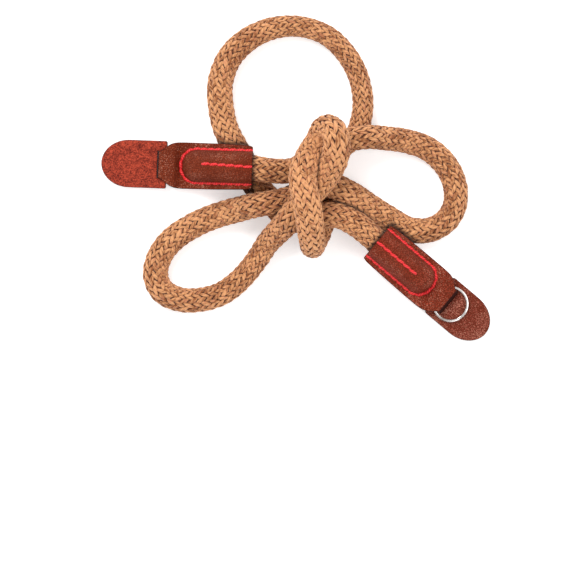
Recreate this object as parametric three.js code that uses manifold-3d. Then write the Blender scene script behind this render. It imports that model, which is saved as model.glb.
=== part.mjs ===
// A knotted rope camera strap lying on a table: one braided rope in a loose bow, a sewn leather cover on
// each end, a tongue-shaped leather guard buttoned onto each cover's loop, and a split ring in each loop.
// Millimetres, +Z up. The origin is on the table under the middle of the strap's outline.
import * as THREE from "three";
import { mergeVertices } from "three/addons/utils/BufferGeometryUtils.js";
import Module from "manifold-3d";

// Rope
const ROPE_DIAMETER = 9.8;
const ROPE_SIDES = 12;
const ROPE_STEP = 4.2;
const ROPE_IN_COVER = 22.0;
const ROPE_ARC_SAMPLES = 4000;
const SEAT_SHARES = [1.0, 0.75, 0.5, 0.25, 0.0];
const SEAT_SIDES = 20;
const SEAT_STEPS = 12;
const SEAT_OVERRUN = 6;

// Leather strip that folds round the rope's end, in one ply
const LEATHER = 1.4;
const WALL_OVER_ROPE = 1.2;
const COVER_WIDTH = 19.3;
const SEAM_DROP = 2.4;
const DOME_TAPER = 5.7;
const DOME_PAST_ROPE = 1.5;
const SEAM_END = 1.1;
const LOOP_SLACK = 1.6;
const LOOP_ROOM = 1.0;
const EDGE_ROUNDING = 0.4;
// The space inside the loop, as shares of the loop's length and of its rise
const LOOP_FLOOR_START = 0.36;
const LOOP_ROOF_START = 0.23;
const LOOP_ROOF_MIDDLE = 0.55;
const LOOP_MIDDLE_RISE = 0.9;
const LOOP_WALL_RISE = 0.8;

// Guard pad
const GUARD_THICKNESS = 1.6;
const GUARD_CORNER = 1.6;
const GUARD_TIP_LENGTH = 11.8;
const GUARD_CURVE_SEGMENTS = 14;

// Split ring
const RING_DIAMETER = 15.0;
const RING_WIRE = 1.3;
const RING_HEIGHT = 1.4;
const RING_GROOVE = 0.15;
const RING_SEGMENTS = 28;
const RING_FORWARD = 0.5;

// Clearances
const FIT = 0.3;
const SLOT_CLEARANCE = 0.4;
const STRIP_CLEARANCE = 0.6;

// Where each cover's mouth lies, which way the cover points, how high the rope's centre is there, and how
// wide and how long the hand-cut guard is, and how much of that length is behind its slot
const LEFT_END = {
  x: -17.9,
  y: 3.9,
  heading: 177.7,
  mouthHeight: 18.2,
  ringUnderGuard: true,
  guardWidth: 19.8,
  guardLength: 27.6,
  guardBridge: 2.1,
};
const RIGHT_END = {
  x: 33.7,
  y: -26.7,
  heading: -40.0,
  mouthHeight: 14.4,
  ringUnderGuard: false,
  guardWidth: 19.0,
  guardLength: 25.8,
  guardBridge: 4.1,
};

// The middle of the strap's outline in the frame of the ends and the route, where the origin goes
const MIDDLE = { x: 0.06, y: 0.03 };

// The rope's centre line from the left mouth to the right one
const ROUTE = [
  // over the upper loop's left leg, under the wrap and over the upper loop's right leg
  [-13.8, 3.1, 18.0],
  [-8.5, 2.5, 17.0],
  [-2.7, 2.6, 15.4],
  [3.0, 4.6, 15.0],
  [9.2, 8.0, 14.6],
  [15.3, 12.0, 15.2],
  [21.9, 15.3, 15.4],
  [29.3, 16.6, 14.7],
  // right loop
  [37.3, 16.2, 10.0],
  [46.5, 15.1, 5.8],
  [55.7, 11.6, 5.1],
  [62.7, 4.9, 5.1],
  [66.2, -3.1, 5.1],
  [66.3, -11.1, 5.1],
  [62.4, -18.0, 5.1],
  [55.0, -21.9, 5.1],
  [46.5, -21.3, 5.1],
  [39.1, -17.3, 5.8],
  // back under the wrap
  [31.4, -12.6, 8.8],
  [24.7, -8.2, 12.8],
  [19.8, -5.5, 15.2],
  [14.5, -3.2, 15.4],
  [8.8, -3.7, 14.0],
  [3.1, -6.3, 12.0],
  [-3.1, -8.8, 13.2],
  [-9.7, -10.5, 15.2],
  [-16.3, -11.5, 14.2],
  // lower left loop
  [-23.7, -13.3, 9.0],
  [-31.7, -15.4, 5.6],
  [-42.1, -19.7, 5.1],
  [-50.9, -25.5, 5.1],
  [-56.4, -32.6, 5.1],
  [-58.2, -40.1, 5.1],
  [-55.4, -46.9, 5.1],
  [-48.5, -50.5, 5.1],
  [-40.6, -50.8, 5.1],
  [-31.4, -48.5, 5.1],
  [-23.5, -42.8, 5.1],
  [-16.8, -35.1, 5.6],
  [-11.5, -27.1, 8.8],
  [-6.4, -21.8, 14.2],
  // up through the knot to the arch
  [-2.5, -17.4, 19.3],
  [2.2, -11.8, 21.6],
  [6.8, -6.0, 23.8],
  [11.5, -0.8, 25.6],
  [14.6, 4.0, 28.6],
  [16.4, 8.6, 31.6],
  [16.8, 14.0, 33.8],
  [15.9, 18.2, 32.3],
  [13.5, 20.1, 28.8],
  [11.1, 18.9, 25.4],
  [9.9, 15.4, 23.8],
  // the wrap, over everything and round under it
  [7.2, 11.0, 25.2],
  [5.2, 7.4, 27.4],
  [3.7, 4.2, 29.8],
  [2.8, -0.4, 31.6],
  [3.4, -5.5, 33.2],
  [4.5, -10.4, 33.2],
  [5.3, -15.6, 31.4],
  [6.1, -21.1, 28.0],
  [6.8, -26.0, 22.8],
  [7.1, -28.4, 15.6],
  [7.9, -27.2, 8.6],
  [10.3, -22.2, 5.2],
  [12.4, -14.4, 5.1],
  [14.1, -7.1, 5.1],
  [14.2, -1.1, 5.1],
  [14.0, 4.4, 5.1],
  [16.2, 9.4, 5.1],
  [20.6, 13.6, 5.1],
  // upper loop
  [25.1, 17.8, 5.1],
  [27.1, 23.4, 5.1],
  [28.0, 31.3, 5.1],
  [26.5, 40.8, 5.1],
  [21.8, 50.4, 5.1],
  [13.8, 58.6, 5.1],
  [2.8, 62.7, 5.1],
  [-8.9, 62.2, 5.1],
  [-19.1, 57.9, 5.1],
  [-27.4, 49.9, 5.1],
  [-31.2, 39.7, 5.1],
  [-31.1, 30.0, 5.1],
  [-28.9, 20.2, 5.1],
  [-24.9, 12.4, 5.1],
  // under the left cover and through the knot to the right cover
  [-20.5, 4.7, 5.1],
  [-17.2, -2.8, 5.1],
  [-11.4, -8.3, 5.1],
  [-6.2, -14.1, 5.1],
  [-0.6, -17.2, 7.4],
  [4.9, -17.4, 12.3],
  [10.4, -15.9, 15.4],
  [16.2, -15.6, 15.6],
  [21.5, -17.4, 15.2],
  [27.1, -20.9, 14.9],
];

// Sizes that follow from the ones above
const seatRadius = ROPE_DIAMETER / 2 + FIT;
const domeRadius = seatRadius + WALL_OVER_ROPE;
const ropeHeight = domeRadius;
const seamHeight = ropeHeight - SEAM_DROP;
const domeStart = ROPE_IN_COVER + DOME_PAST_ROPE;
const seamEnd = domeStart + DOME_TAPER + SEAM_END;
const loopLength = RING_DIAMETER / 2 + LOOP_SLACK;
const coverLength = seamEnd + loopLength;
const stripWidth = RING_DIAMETER - 2 * RING_WIRE - 2 * STRIP_CLEARANCE;
const loopTop = LEATHER + GUARD_THICKNESS + RING_HEIGHT + 3 * FIT + LOOP_ROOM;

// Cover width along its length: shares of the sewn length or of the loop's length, and of the width
// between the strip that goes through the slot (0) and the sewn cover (1)
const SEWN_WIDTHS = [
  { along: 0.0, width: 0.7 },
  { along: 0.05, width: 0.87 },
  { along: 0.2, width: 0.92 },
  { along: 0.45, width: 0.97 },
  { along: 0.65, width: 0.99 },
  { along: 0.775, width: 1.0 },
  { along: 0.83, width: 1.0 },
  { along: 0.875, width: 1.0 },
  { along: 0.92, width: 1.0 },
  { along: 0.95, width: 1.0 },
  { along: 0.965, width: 1.0 },
  { along: 1.0, width: 0.99 },
];
const LOOP_SECTIONS = [
  { along: 0.23, width: 0.93, front: 1.0, back: 0.36 },
  { along: 0.36, width: 0.84, front: 1.0, back: 0.0 },
  { along: 0.55, width: 0.62, front: 0.93, back: 0.0 },
  { along: 0.68, width: 0.34, front: 0.88, back: 0.0 },
  { along: 0.8, width: 0.06, front: 0.83, back: 0.0 },
  { along: 0.89, width: 0.0, front: 0.76, back: 0.0 },
  { along: 0.965, width: 0.0, front: 0.42, back: 0.12 },
  { along: 1.0, width: 0.0, front: -0.05, back: 0.4 },
];
// Where a section has its points, as shares of its half width
const ACROSS = [-1, -0.95, -0.7, -0.66, -0.57, -0.42, -0.22, 0, 0.22, 0.42, 0.57, 0.66, 0.7, 0.95, 1];

const wasm = await Module();
wasm.setup();

/** A closed geometry as a solid for joining and cutting. */
function solidOf(geometry) {
  const bare = new THREE.BufferGeometry();
  bare.setAttribute("position", geometry.getAttribute("position"));
  if (geometry.index) bare.setIndex(geometry.index);
  const merged = mergeVertices(bare, 1e-4);
  return new wasm.Manifold(
    new wasm.Mesh({
      numProp: 3,
      vertProperties: merged.attributes.position.array,
      triVerts: new Uint32Array(merged.index.array),
    }),
  );
}

/** A solid as a geometry again. */
function geometryOf(solid) {
  const made = solid.getMesh();
  const geometry = new THREE.BufferGeometry();
  geometry.setAttribute("position", new THREE.BufferAttribute(made.vertProperties, 3));
  geometry.setIndex(new THREE.BufferAttribute(made.triVerts, 1));
  geometry.computeVertexNormals();
  return geometry;
}

/** A closed skin over rings of points, one ring for each section, with flat ends. */
function loft(rings) {
  const count = rings[0].length;
  const positions = rings.flat(2);
  const faces = [];
  for (let i = 0; i < rings.length - 1; i += 1) {
    for (let j = 0; j < count; j += 1) {
      const a = i * count + j;
      const b = i * count + ((j + 1) % count);
      faces.push(a, b + count, b, a, a + count, b + count);
    }
  }
  const last = (rings.length - 1) * count;
  const half = count / 2;
  for (let j = 0; j < half - 1; j += 1) {
    const k = count - 1 - j;
    faces.push(j, j + 1, k, j + 1, k - 1, k);
    faces.push(last + j, last + k, last + j + 1, last + j + 1, last + k, last + k - 1);
  }
  const geometry = new THREE.BufferGeometry();
  geometry.setAttribute("position", new THREE.Float32BufferAttribute(positions, 3));
  geometry.setIndex(faces);
  geometry.computeVertexNormals();
  return geometry;
}

/** A regular polygon, which the rope and its seat follow along their line. */
function polygon(radius, sides) {
  const points = [];
  for (let i = 0; i < sides; i += 1) {
    const angle = (2 * Math.PI * (i + 0.5)) / sides;
    points.push(new THREE.Vector2(radius * Math.cos(angle), radius * Math.sin(angle)));
  }
  return new THREE.Shape(points);
}

/** How far the cover is raised above the table at a distance from its mouth. */
function lift(end, along) {
  const t = Math.max(0, (seamEnd - along) / seamEnd);
  return (end.mouthHeight - ropeHeight) * t * t * (3 - 2 * t);
}

/** How much taller the sloping rope's upright section is than the rope, at a distance from the mouth. */
function slopeStretch(end, along) {
  const t = Math.max(0, (seamEnd - along) / seamEnd);
  return Math.hypot(1, (6 * (end.mouthHeight - ropeHeight) * t * (1 - t)) / seamEnd);
}

/** Where a cover's own frame lies: its mouth at the origin, its loop along +X, the table at Z 0. */
function coverFrame(end) {
  const turn = new THREE.Matrix4().makeRotationZ(THREE.MathUtils.degToRad(end.heading));
  return turn.setPosition(end.x, end.y, 0);
}

/** The rope's centre inside a cover, in the part's own frame. */
function seatPoint(end, along) {
  return new THREE.Vector3(along, 0, ropeHeight + lift(end, along)).applyMatrix4(coverFrame(end));
}

/** The rope's whole centre line, from its end in the left cover to its end in the right one. */
function ropeLine() {
  const seats = SEAT_SHARES.map((share) => share * ROPE_IN_COVER);
  const points = [
    ...seats.map((along) => seatPoint(LEFT_END, along)),
    ...ROUTE.map((p) => new THREE.Vector3(...p)),
    ...seats.toReversed().map((along) => seatPoint(RIGHT_END, along)),
  ];
  const line = new THREE.CatmullRomCurve3(points, false, "centripetal");
  line.arcLengthDivisions = ROPE_ARC_SAMPLES;
  return line;
}

const ropePath = ropeLine();

/** The braided rope as a plain round tube. */
function ropeGeometry() {
  return new THREE.ExtrudeGeometry(polygon(ROPE_DIAMETER / 2, ROPE_SIDES), {
    steps: Math.round(ropePath.getLength() / ROPE_STEP),
    bevelEnabled: false,
    extrudePath: ropePath,
  });
}

/** The rope's seat in a cover: a tube along the rope's own line, wider by the fit and open at the mouth. */
function seatSolid(end) {
  const length = ropePath.getLength();
  const reach = ROPE_IN_COVER + SEAT_OVERRUN;
  const points = [];
  for (let i = 0; i <= SEAT_STEPS; i += 1) {
    const share = (i * reach) / SEAT_STEPS / length;
    points.push(ropePath.getPointAt(end === LEFT_END ? share : 1 - share));
  }
  const beyondEnd = points[0].clone().sub(points[1]).setLength(FIT);
  points[0].add(beyondEnd);
  const toCover = coverFrame(end).invert();
  points.forEach((p) => p.applyMatrix4(toCover));
  const radius = seatRadius / Math.cos(Math.PI / SEAT_SIDES);
  return solidOf(
    new THREE.ExtrudeGeometry(polygon(radius, SEAT_SIDES), {
      steps: SEAT_STEPS,
      bevelEnabled: false,
      extrudePath: new THREE.CatmullRomCurve3(points, false, "centripetal"),
    }),
  );
}

/** One cover section: points across the top, then back across the underside. */
function coverRing(end, along, halfWidth, top, bottom) {
  const taper = Math.max(0, (along - domeStart) / DOME_TAPER);
  const domeHalf = domeRadius + FIT;
  const raise = lift(end, along);
  const taller = domeRadius * (slopeStretch(end, along) - 1);
  const upper = [];
  const lower = [];
  for (const share of ACROSS) {
    const y = share * halfWidth;
    const dome = Math.sqrt(Math.max(0, 1 - (y / domeHalf) ** 2 - taper ** 2));
    const edge = Math.abs(share) === 1 ? EDGE_ROUNDING : 0;
    const over = ropeHeight + domeRadius - seamHeight - LEATHER + taller;
    upper.push([along, y, top + dome * over - edge + raise]);
    lower.push([along, y, bottom - dome * (seamHeight - LEATHER + taller) + edge + raise]);
  }
  return [...upper, ...lower.toReversed()];
}

/** The leather cover: a strip folded round the rope's end and through the guard's slot and the ring. */
function coverGeometry(end) {
  const widthAt = (share) => (stripWidth + share * (COVER_WIDTH - stripWidth)) / 2;
  const rings = SEWN_WIDTHS.map(({ along, width }) =>
    coverRing(end, along * seamEnd, widthAt(width), seamHeight + LEATHER, seamHeight - LEATHER),
  );
  const frontRise = loopTop - seamHeight;
  for (const { along, width, front, back } of LOOP_SECTIONS) {
    const top = seamHeight + LEATHER + front * frontRise;
    const bottom = back * (seamHeight - LEATHER);
    rings.push(coverRing(end, seamEnd + along * loopLength, widthAt(width), top, bottom));
  }
  const wallFace = coverLength - LEATHER;
  const gap = new THREE.Shape([
    new THREE.Vector2(seamEnd, seamHeight),
    new THREE.Vector2(seamEnd + LOOP_FLOOR_START * loopLength, LEATHER),
    new THREE.Vector2(wallFace - FIT, LEATHER),
    new THREE.Vector2(wallFace, LEATHER + FIT),
    new THREE.Vector2(wallFace, seamHeight + LOOP_WALL_RISE * frontRise),
    new THREE.Vector2(seamEnd + LOOP_ROOF_MIDDLE * loopLength, seamHeight + LOOP_MIDDLE_RISE * frontRise),
    new THREE.Vector2(seamEnd + LOOP_ROOF_START * loopLength, loopTop),
  ]);
  const across = 2 * COVER_WIDTH;
  const gapGeometry = new THREE.ExtrudeGeometry(gap, { depth: across, bevelEnabled: false });
  gapGeometry.rotateX(Math.PI / 2);
  gapGeometry.translate(0, across / 2, 0);
  const cover = solidOf(loft(rings)).subtract(solidOf(gapGeometry)).subtract(seatSolid(end));
  return geometryOf(cover);
}

/** The guard: a tongue-shaped pad with a cross slot near its square back edge, lying in its own plane. */
function guardGeometry(end) {
  const back = -(end.guardBridge + LEATHER + SLOT_CLEARANCE);
  const half = end.guardWidth / 2;
  const tip = back + end.guardLength;
  const shoulder = tip - GUARD_TIP_LENGTH;
  const outline = new THREE.Shape();
  outline.moveTo(back + GUARD_CORNER, -half);
  outline.lineTo(shoulder, -half);
  outline.absellipse(shoulder, 0, GUARD_TIP_LENGTH, half, -Math.PI / 2, Math.PI / 2, false);
  outline.lineTo(back + GUARD_CORNER, half);
  outline.absarc(back + GUARD_CORNER, half - GUARD_CORNER, GUARD_CORNER, Math.PI / 2, Math.PI, false);
  outline.lineTo(back, -half + GUARD_CORNER);
  outline.absarc(back + GUARD_CORNER, -half + GUARD_CORNER, GUARD_CORNER, Math.PI, 1.5 * Math.PI, false);
  const slotHalf = stripWidth / 2 + SLOT_CLEARANCE;
  const slot = new THREE.Path();
  slot.moveTo(-LEATHER - SLOT_CLEARANCE, -slotHalf);
  slot.lineTo(-LEATHER - SLOT_CLEARANCE, slotHalf);
  slot.lineTo(SLOT_CLEARANCE, slotHalf);
  slot.lineTo(SLOT_CLEARANCE, -slotHalf);
  slot.closePath();
  outline.holes.push(slot);
  return new THREE.ExtrudeGeometry(outline, {
    depth: GUARD_THICKNESS,
    bevelEnabled: false,
    curveSegments: GUARD_CURVE_SEGMENTS,
  });
}

/** The split ring: two turns of flat wire pressed together, with the groove between them. */
function ringGeometry() {
  const outer = RING_DIAMETER / 2;
  const inner = outer - RING_WIRE;
  const middle = RING_HEIGHT / 2;
  const profile = [
    [inner, 0],
    [outer, 0],
    [outer, middle - RING_GROOVE],
    [outer - RING_GROOVE, middle],
    [outer, middle + RING_GROOVE],
    [outer, RING_HEIGHT],
    [inner, RING_HEIGHT],
    [inner, middle + RING_GROOVE],
    [inner + RING_GROOVE, middle],
    [inner, middle - RING_GROOVE],
    [inner, 0],
  ].map(([r, z]) => new THREE.Vector2(r, z));
  const ring = new THREE.LatheGeometry(profile, RING_SEGMENTS);
  ring.rotateX(Math.PI / 2);
  return ring;
}

const materials = {
  rope: new THREE.MeshStandardMaterial({ color: 0xc38c5a, roughness: 0.85, metalness: 0 }),
  leather: new THREE.MeshStandardMaterial({ color: 0x6e3726, roughness: 0.5, metalness: 0 }),
  suede: new THREE.MeshStandardMaterial({ color: 0xaa3c32, roughness: 0.95, metalness: 0 }),
  nickel: new THREE.MeshStandardMaterial({ color: 0xc8c8c8, roughness: 0.25, metalness: 1 }),
};

/** A named mesh. */
function piece(name, geometry, material) {
  const mesh = new THREE.Mesh(geometry, material);
  mesh.name = name;
  return mesh;
}

/** One end of the strap: its cover, and its guard and ring stacked in the cover's loop. */
function strapEnd(side, end) {
  const group = new THREE.Group();
  group.applyMatrix4(coverFrame(end));
  group.add(piece(`${side}_leather_end`, coverGeometry(end), materials.leather));
  const guardHeight = LEATHER + FIT + (end.ringUnderGuard ? RING_HEIGHT + FIT : 0);
  const reach = end.guardLength - end.guardBridge - LEATHER - SLOT_CLEARANCE;
  const stack = new THREE.Group();
  stack.position.set(coverLength, 0, guardHeight);
  stack.rotation.y = Math.asin(guardHeight / reach);
  const guardMaterial = end.ringUnderGuard ? materials.suede : materials.leather;
  stack.add(piece(`${side}_ring_guard`, guardGeometry(end), guardMaterial));
  const ring = piece(`${side}_split_ring`, ringGeometry(), materials.nickel);
  ring.position.set(RING_FORWARD, 0, end.ringUnderGuard ? -FIT - RING_HEIGHT : GUARD_THICKNESS + FIT);
  stack.add(ring);
  group.add(stack);
  return group;
}

const strap = new THREE.Group();
strap.position.set(-MIDDLE.x, -MIDDLE.y, 0);
strap.add(piece("rope", ropeGeometry(), materials.rope));
strap.add(strapEnd("left", LEFT_END));
strap.add(strapEnd("right", RIGHT_END));

export default strap;
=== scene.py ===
"""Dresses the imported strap: a braided rope in a loose bow with sewn leather ends, from straight above."""

import logging
import math
from dataclasses import dataclass, field
from enum import Enum
from functools import cached_property

import bmesh
import bpy
import numpy as np
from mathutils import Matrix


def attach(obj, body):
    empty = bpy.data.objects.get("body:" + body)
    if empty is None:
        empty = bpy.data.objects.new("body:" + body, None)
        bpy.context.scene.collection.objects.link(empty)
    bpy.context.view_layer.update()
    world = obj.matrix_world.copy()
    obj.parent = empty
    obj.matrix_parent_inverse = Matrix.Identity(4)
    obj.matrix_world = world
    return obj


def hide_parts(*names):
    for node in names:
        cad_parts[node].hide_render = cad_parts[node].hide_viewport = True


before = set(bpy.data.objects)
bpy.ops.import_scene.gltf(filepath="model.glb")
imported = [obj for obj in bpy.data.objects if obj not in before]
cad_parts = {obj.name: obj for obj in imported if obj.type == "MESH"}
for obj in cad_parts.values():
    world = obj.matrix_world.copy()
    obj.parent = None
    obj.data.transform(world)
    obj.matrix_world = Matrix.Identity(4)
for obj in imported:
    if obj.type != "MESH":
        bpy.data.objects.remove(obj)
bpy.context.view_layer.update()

LOG = logging.getLogger("strap")

MM = 0.001
BODY = "root"
UP = (0.0, 0.0, 1.0)
WHITE = (1.0, 1.0, 1.0, 1.0)
# Points nearer than this, in metres, are one point
DOUBLED = 1e-7
# The length under which a vector has no direction
TINY = 1e-6

Mesh = bpy.types.Mesh
Object = bpy.types.Object
Material = bpy.types.Material
Socket = bpy.types.NodeSocket
Array = np.ndarray
Pair = tuple[float, float]
Colour = tuple[float, float, float, float]
Tint = Colour | Socket

# The rope's centre line between the two mouths, in millimetres, as the CAD source has it
ROUTE = [
    (-13.8, 3.1, 18), (-8.5, 2.5, 17), (-2.7, 2.6, 15.4), (3, 4.6, 15), (9.2, 8, 14.6), (15.3, 12, 15.2),
    (21.9, 15.3, 15.4), (29.3, 16.6, 14.7), (37.3, 16.2, 10), (46.5, 15.1, 5.8), (55.7, 11.6, 5.1),
    (62.7, 4.9, 5.1), (66.2, -3.1, 5.1), (66.3, -11.1, 5.1), (62.4, -18, 5.1), (55, -21.9, 5.1),
    (46.5, -21.3, 5.1), (39.1, -17.3, 5.8), (31.4, -12.6, 8.8), (24.7, -8.2, 12.8), (19.8, -5.5, 15.2),
    (14.5, -3.2, 15.4), (8.8, -3.7, 14), (3.1, -6.3, 12), (-3.1, -8.8, 13.2), (-9.7, -10.5, 15.2),
    (-16.3, -11.5, 14.2), (-23.7, -13.3, 9), (-31.7, -15.4, 5.6), (-42.1, -19.7, 5.1),
    (-50.9, -25.5, 5.1), (-56.4, -32.6, 5.1), (-58.2, -40.1, 5.1), (-55.4, -46.9, 5.1),
    (-48.5, -50.5, 5.1), (-40.6, -50.8, 5.1), (-31.4, -48.5, 5.1), (-23.5, -42.8, 5.1),
    (-16.8, -35.1, 5.6), (-11.5, -27.1, 8.8), (-6.4, -21.8, 14.2), (-2.5, -17.4, 19.3),
    (2.2, -11.8, 21.6), (6.8, -6, 23.8), (11.5, -0.8, 25.6), (14.6, 4, 28.6), (16.4, 8.6, 31.6),
    (16.8, 14, 33.8), (15.9, 18.2, 32.3), (13.5, 20.1, 28.8), (11.1, 18.9, 25.4), (9.9, 15.4, 23.8),
    (7.2, 11, 25.2), (5.2, 7.4, 27.4), (3.7, 4.2, 29.8), (2.8, -0.4, 31.6), (3.4, -5.5, 33.2),
    (4.5, -10.4, 33.2), (5.3, -15.6, 31.4), (6.1, -21.1, 28), (6.8, -26, 22.8), (7.1, -28.4, 15.6),
    (7.9, -27.2, 8.6), (10.3, -22.2, 5.2), (12.4, -14.4, 5.1), (14.1, -7.1, 5.1), (14.2, -1.1, 5.1),
    (14, 4.4, 5.1), (16.2, 9.4, 5.1), (20.6, 13.6, 5.1), (25.1, 17.8, 5.1), (27.1, 23.4, 5.1),
    (28, 31.3, 5.1), (26.5, 40.8, 5.1), (21.8, 50.4, 5.1), (13.8, 58.6, 5.1), (2.8, 62.7, 5.1),
    (-8.9, 62.2, 5.1), (-19.1, 57.9, 5.1), (-27.4, 49.9, 5.1), (-31.2, 39.7, 5.1), (-31.1, 30, 5.1),
    (-28.9, 20.2, 5.1), (-24.9, 12.4, 5.1), (-20.5, 4.7, 5.1), (-17.2, -2.8, 5.1), (-11.4, -8.3, 5.1),
    (-6.2, -14.1, 5.1), (-0.6, -17.2, 7.4), (4.9, -17.4, 12.3), (10.4, -15.9, 15.4), (16.2, -15.6, 15.6),
    (21.5, -17.4, 15.2), (27.1, -20.9, 14.9),
]
# The middle of the strap's outline in the route's frame, where the origin is
MIDDLE = (0.06, 0.03)


def srgb(red: float, green: float, blue: float) -> Colour:
    """A colour in screen values from 0 to 255 as the linear colour that a shader takes.

    Args:
        red: The red part.
        green: The green part.
        blue: The blue part.

    Returns:
        The linear colour, with a full alpha.
    """
    parts = [c / 255 for c in (red, green, blue)]
    linear = [c / 12.92 if c <= 0.04045 else ((c + 0.055) / 1.055) ** 2.4 for c in parts]
    return (linear[0], linear[1], linear[2], 1.0)


def smooth(values: Array, reach: int) -> Array:
    """Evens out a row of values over twice the reach on each side, with its two ends kept."""
    window = np.hanning(4 * reach + 3)[1:-1]
    return np.convolve(np.pad(values, 2 * reach, "edge"), window / window.sum(), "valid")


def smooth_step(low: float, high: float, value: Array) -> Array:
    """A soft ramp from 0 at low to 1 at high."""
    t = np.clip((value - low) / (high - low), 0, 1)
    return t * t * (3 - 2 * t)


def unit(vectors: Array) -> Array:
    """Vectors in rows, each brought to a length of 1."""
    return vectors / np.maximum(np.linalg.norm(vectors, axis=1, keepdims=True), TINY)


class Number:
    """A number in a node tree, which Python's operators carry on through Math nodes."""

    def __init__(self, graph: "NodeGraph", socket: Socket) -> None:
        """Wraps a socket of a graph."""
        self.graph = graph
        self.socket = socket

    def _math(self, operation: str, *values: "Number | float", clamp: bool = False) -> "Number":
        """Adds one Math node, which may keep its result between 0 and 1."""
        given = dict(enumerate(values))
        return self.graph.number("ShaderNodeMath", given, operation=operation, use_clamp=clamp)

    def __add__(self, other: "Number | float") -> "Number":
        """The sum."""
        return self._math("ADD", self, other)

    __radd__ = __add__

    def __sub__(self, other: "Number | float") -> "Number":
        """The difference."""
        return self._math("SUBTRACT", self, other)

    def __rsub__(self, other: float) -> "Number":
        """A number less this one."""
        return self._math("SUBTRACT", other, self)

    def __mul__(self, other: "Number | float") -> "Number":
        """The product."""
        return self._math("MULTIPLY", self, other)

    __rmul__ = __mul__

    def sine(self) -> "Number":
        """The sine."""
        return self._math("SINE", self)

    def ramp(self, low: float, high: float) -> "Number":
        """A soft ramp from 0 at low to 1 at high."""
        t = self._math("MULTIPLY", self - low, 1 / (high - low), clamp=True)
        return t * t * (3 - 2 * t)


class NodeGraph:
    """A node tree and the few ways in which this scene adds nodes to it."""

    def __init__(self, tree: bpy.types.NodeTree) -> None:
        """Takes up a tree."""
        self.tree = tree

    def add(
        self, kind: str, inputs: dict | None = None, output: int | str = 0, **settings: object
    ) -> Socket | None:
        """Adds a node.

        Args:
            kind: The node's type.
            inputs: The value or the link of each named or numbered socket.
            output: The output that is wanted.
            settings: The node's own settings.

        Returns:
            That output, or nothing where the node has none.
        """
        made = self.tree.nodes.new(kind)
        for key, value in settings.items():
            setattr(made, key, value)
        for key, value in (inputs or {}).items():
            value = value.socket if isinstance(value, Number) else value
            if isinstance(value, Socket):
                self.tree.links.new(value, made.inputs[key])
            else:
                made.inputs[key].default_value = value
        return made.outputs[output] if len(made.outputs) else None

    def number(
        self, kind: str, inputs: dict | None = None, output: int | str = 0, **settings: object
    ) -> Number:
        """Adds a node and wraps one of its outputs as a number."""
        return Number(self, self.add(kind, inputs, output, **settings))

    def split(self, vector: Socket) -> list[Number]:
        """A vector's three parts."""
        node = self.add("ShaderNodeSeparateXYZ", {0: vector}).node
        return [Number(self, part) for part in node.outputs]

    def vector(self, *parts: Number | Socket | float) -> Socket:
        """A vector from its parts in order, with 0 for those left out."""
        return self.add("ShaderNodeCombineXYZ", dict(enumerate(parts)))

    def carried(self, name: str) -> Socket:
        """A vector that the geometry carries."""
        return self.add("GeometryNodeInputNamedAttribute", {"Name": name}, data_type="FLOAT_VECTOR")


class ShaderGraph(NodeGraph):
    """One material's node tree."""

    def __init__(self, name: str) -> None:
        """Starts an empty material of that name."""
        self.material = bpy.data.materials.new(name)
        self.material.use_nodes = True
        super().__init__(self.material.node_tree)
        self.tree.nodes.clear()

    @cached_property
    def place(self) -> Socket:
        """The object coordinates, in metres."""
        return self.add("ShaderNodeTexCoord", output="Object")

    def attribute(self, name: str) -> Number:
        """A number that the mesh carries."""
        return self.number("ShaderNodeAttribute", output="Fac", attribute_name=name)

    def noise(
        self, scale: float, detail: float = 3.0, rough: float = 0.55, at: Socket | None = None
    ) -> Number:
        """Fractal noise.

        Args:
            scale: Features for each unit of the vector.
            detail: The number of octaves.
            rough: How much each octave adds.
            at: The vector where it is read, or else the object coordinates.

        Returns:
            A number about 0.5.
        """
        place = self.place if at is None else at
        given = {"Vector": place, "Scale": scale, "Detail": detail, "Roughness": rough}
        return self.number("ShaderNodeTexNoise", given, "Fac")

    def cells(self, vector: Socket, scale: float) -> Number:
        """The distance to the edge of irregular cells."""
        given = {"Vector": vector, "Scale": scale}
        return self.number("ShaderNodeTexVoronoi", given, "Distance", feature="DISTANCE_TO_EDGE")

    def warped(self, scale: float, amount: float) -> Socket:
        """The object coordinates pushed about by noise, so that a pattern on them isn't regular."""
        push = self.add("ShaderNodeTexNoise", {"Vector": self.place, "Scale": scale, "Detail": 2.0}, "Color")
        centred = self.add("ShaderNodeVectorMath", {0: push, 1: (0.5, 0.5, 0.5)}, operation="SUBTRACT")
        scaled = self.add("ShaderNodeVectorMath", {0: centred, "Scale": amount}, operation="SCALE")
        return self.add("ShaderNodeVectorMath", {0: self.place, 1: scaled}, operation="ADD")

    def mix(self, factor: Number, first: Tint, second: Tint) -> Socket:
        """A colour between two others."""
        return self.add("ShaderNodeMix", {0: factor, 6: first, 7: second}, 2, data_type="RGBA")

    def bump(self, height: Number, depth: float) -> Socket:
        """A normal from a height of 0 to 1 and the depth, in metres, that 1 stands for."""
        return self.add("ShaderNodeBump", {"Height": height, "Distance": depth, "Strength": 1.0}, "Normal")

    def finish(self, **sockets: Number | Tint | float) -> Material:
        """Ends the tree in one principled shader, whose socket names are given with underscores."""
        given = {key.replace("_", " "): value for key, value in sockets.items()}
        self.add("ShaderNodeOutputMaterial", {"Surface": self.add("ShaderNodeBsdfPrincipled", given)})
        return self.material


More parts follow.
